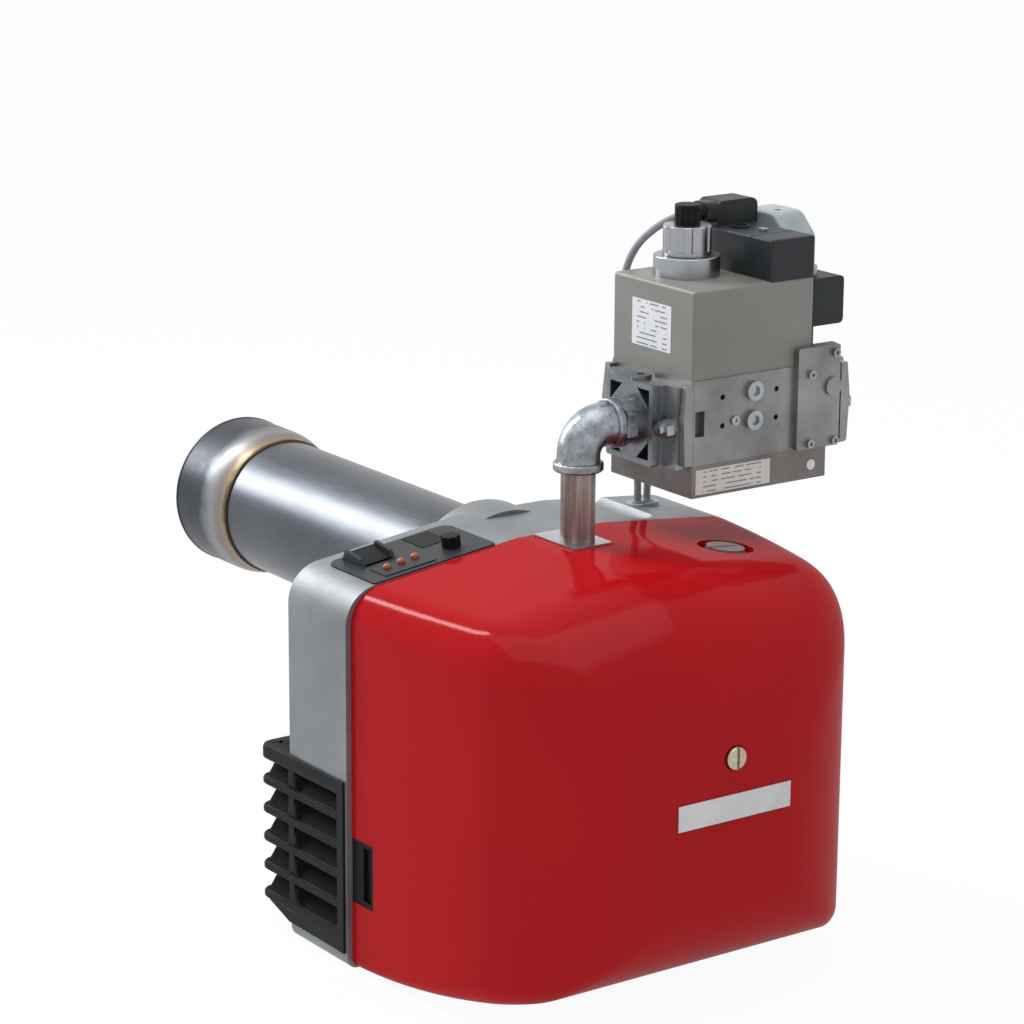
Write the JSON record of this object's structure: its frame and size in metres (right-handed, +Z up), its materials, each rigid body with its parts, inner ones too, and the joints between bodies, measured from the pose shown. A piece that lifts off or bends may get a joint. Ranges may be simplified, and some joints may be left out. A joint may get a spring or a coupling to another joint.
{
  "type": "gas burner",
  "caption": "Forced-draught gas burner: cast housing with red cover, blast tube, finned air inlet, and a valve block on the supply pipe.",
  "frame": {"origin": "centre of the boiler flange face, on the blast tube axis", "axes": "+Y along the blast tube into the boiler, +Z up, +X to the right for someone behind the burner"},
  "size_m": [0.4542, 0.7105, 0.5709],
  "materials": {
    "cast_aluminium": "satin",
    "red_paint": "gloss",
    "tube_steel": "brushed",
    "head_steel": "brushed",
    "black_plastic": "matte",
    "grey_plastic": "matte",
    "orange_plastic": "gloss",
    "beige_paint": "satin",
    "machined_aluminium": "machined",
    "turned_aluminium": "turned",
    "zinc": "galvanised",
    "raw_pipe": "raw",
    "plated_steel": "zinc plated",
    "inner_steel": "satin",
    "dark_paint": "satin",
    "ceramic_white": "glazed",
    "grey_sheath": "matte",
    "black_rubber": "matte",
    "sheet_zinc": "zinc sheet"
  },
  "bodies": {
    "housing": {"burner_body": "cast_aluminium", "blast_tube": "tube_steel", "head_cap": "head_steel", "cover_bracket": "sheet_zinc", "pipe_plate": "sheet_zinc", "air_louvre": "black_plastic", "intake_box": "black_plastic", "fan_scroll": "cast_aluminium", "motor_body": "dark_paint", "motor_capacitor": "grey_plastic", "duct_cover": "sheet_zinc", "inner_screws": "plated_steel", "gas_manifold": "cast_aluminium", "gas_pipe": "raw_pipe", "pipe_elbow": "zinc", "hex_nipple": "zinc", "component_plate": "sheet_zinc", "control_box": "grey_plastic", "ignition_transformer": "black_plastic", "air_pressure_switch": "grey_plastic", "control_panel": "black_plastic", "panel_lamps": "orange_plastic", "outlet_flange": "machined_aluminium", "inlet_flange": "machined_aluminium", "flange_bolts": "plated_steel", "valve_block": "machined_aluminium", "valve_base": "machined_aluminium", "coil_housing": "beige_paint", "valve_side_plate": "machined_aluminium", "brake_disc": "turned_aluminium", "terminal_box": "black_plastic", "lead_plug": "black_plastic", "pressure_switch": "black_plastic", "switch_plug": "grey_plastic", "valve_fasteners": "plated_steel", "lead_grommet": "black_rubber", "valve_lead": "grey_sheath", "pressure_lead": "grey_sheath"},
    "cover": {"burner_cover": "red_paint", "side_clip": "black_plastic"},
    "cover_screw": {"cover_screw": "plated_steel"},
    "cover_disc": {"cover_disc": "grey_plastic"},
    "fan": {"fan_wheel": "inner_steel", "motor_shaft": "inner_steel", "motor_rotor": "inner_steel"},
    "damper": {"damper_flap": "inner_steel"},
    "mixing_head": {"gas_tube": "inner_steel", "gas_nozzle": "inner_steel", "diffuser_disc": "inner_steel", "ignition_electrodes": "ceramic_white", "flame_probe": "ceramic_white", "electrode_clamp": "inner_steel"},
    "reset_button": {"reset_button": "black_plastic"},
    "main_switch": {"main_switch": "black_plastic"},
    "air_knob": {"air_knob": "black_plastic"},
    "flow_ring": {"flow_ring": "turned_aluminium"},
    "brake_cap": {"brake_cap": "black_plastic"},
    "pressure_dial": {"pressure_dial": "turned_aluminium"},
    "valve_plungers": {"valve_plungers": "inner_steel"},
    "lockout_button": {"lockout_button": "orange_plastic"}
  },
  "joints": [
    {"name": "cover_pull_off", "type": "slide", "parent": "housing", "child": "cover", "axis": [0, -1, 0], "range_m": [0, 0.24]},
    {"name": "cover_screw_turn", "type": "hinge", "parent": "cover", "child": "cover_screw", "pos_m": [0, -0.331, -0.05], "axis": [0, -1, 0], "continuous": true},
    {"name": "cover_disc_turn", "type": "hinge", "parent": "cover", "child": "cover_disc", "pos_m": [0.098, -0.192, 0.061], "axis": [0.105, -0.02, 0.9943], "range_deg": [0, 90]},
    {"name": "fan_spin", "type": "hinge", "parent": "housing", "child": "fan", "pos_m": [-0.065, -0.1, -0.15], "axis": [1, 0, 0], "continuous": true},
    {"name": "damper_turn", "type": "hinge", "parent": "housing", "child": "damper", "pos_m": [-0.139, -0.0855, -0.16], "axis": [0, 0, 1], "range_deg": [0, 80]},
    {"name": "head_adjust", "type": "slide", "parent": "housing", "child": "mixing_head", "axis": [0, 1, 0], "range_m": [0, 0.015]},
    {"name": "reset_press", "type": "slide", "parent": "housing", "child": "reset_button", "axis": [0.127, 0, -0.9919], "range_m": [0, 0.002], "stiffness_N_per_m": 400},
    {"name": "switch_rock", "type": "hinge", "parent": "housing", "child": "main_switch", "pos_m": [-0.13625, -0.05, 0.05589], "axis": [0.9919, 0, 0.127], "range_deg": [-12, 0]},
    {"name": "air_knob_turn", "type": "hinge", "parent": "housing", "child": "air_knob", "pos_m": [-0.07878, -0.077, 0.06375], "axis": [-0.127, 0, 0.9919], "range_deg": [0, 270]},
    {"name": "flow_ring_turn", "type": "hinge", "parent": "housing", "child": "flow_ring", "pos_m": [0.109, -0.123, 0.28], "axis": [0, 0, 1], "range_deg": [0, 350]},
    {"name": "brake_cap_turn", "type": "hinge", "parent": "housing", "child": "brake_cap", "pos_m": [0.109, -0.123, 0.31], "axis": [0, 0, 1], "range_deg": [0, 350]},
    {"name": "pressure_dial_turn", "type": "hinge", "parent": "housing", "child": "pressure_dial", "pos_m": [0.205, -0.15, 0.26], "axis": [0, 0, 1], "range_deg": [0, 300]},
    {"name": "plunger_lift", "type": "slide", "parent": "housing", "child": "valve_plungers", "axis": [0, 0, 1], "range_m": [0, 0.004], "stiffness_N_per_m": 800},
    {"name": "lockout_press", "type": "slide", "parent": "housing", "child": "lockout_button", "axis": [0, 1, 0], "range_m": [0, 0.002], "stiffness_N_per_m": 400}
  ]
}
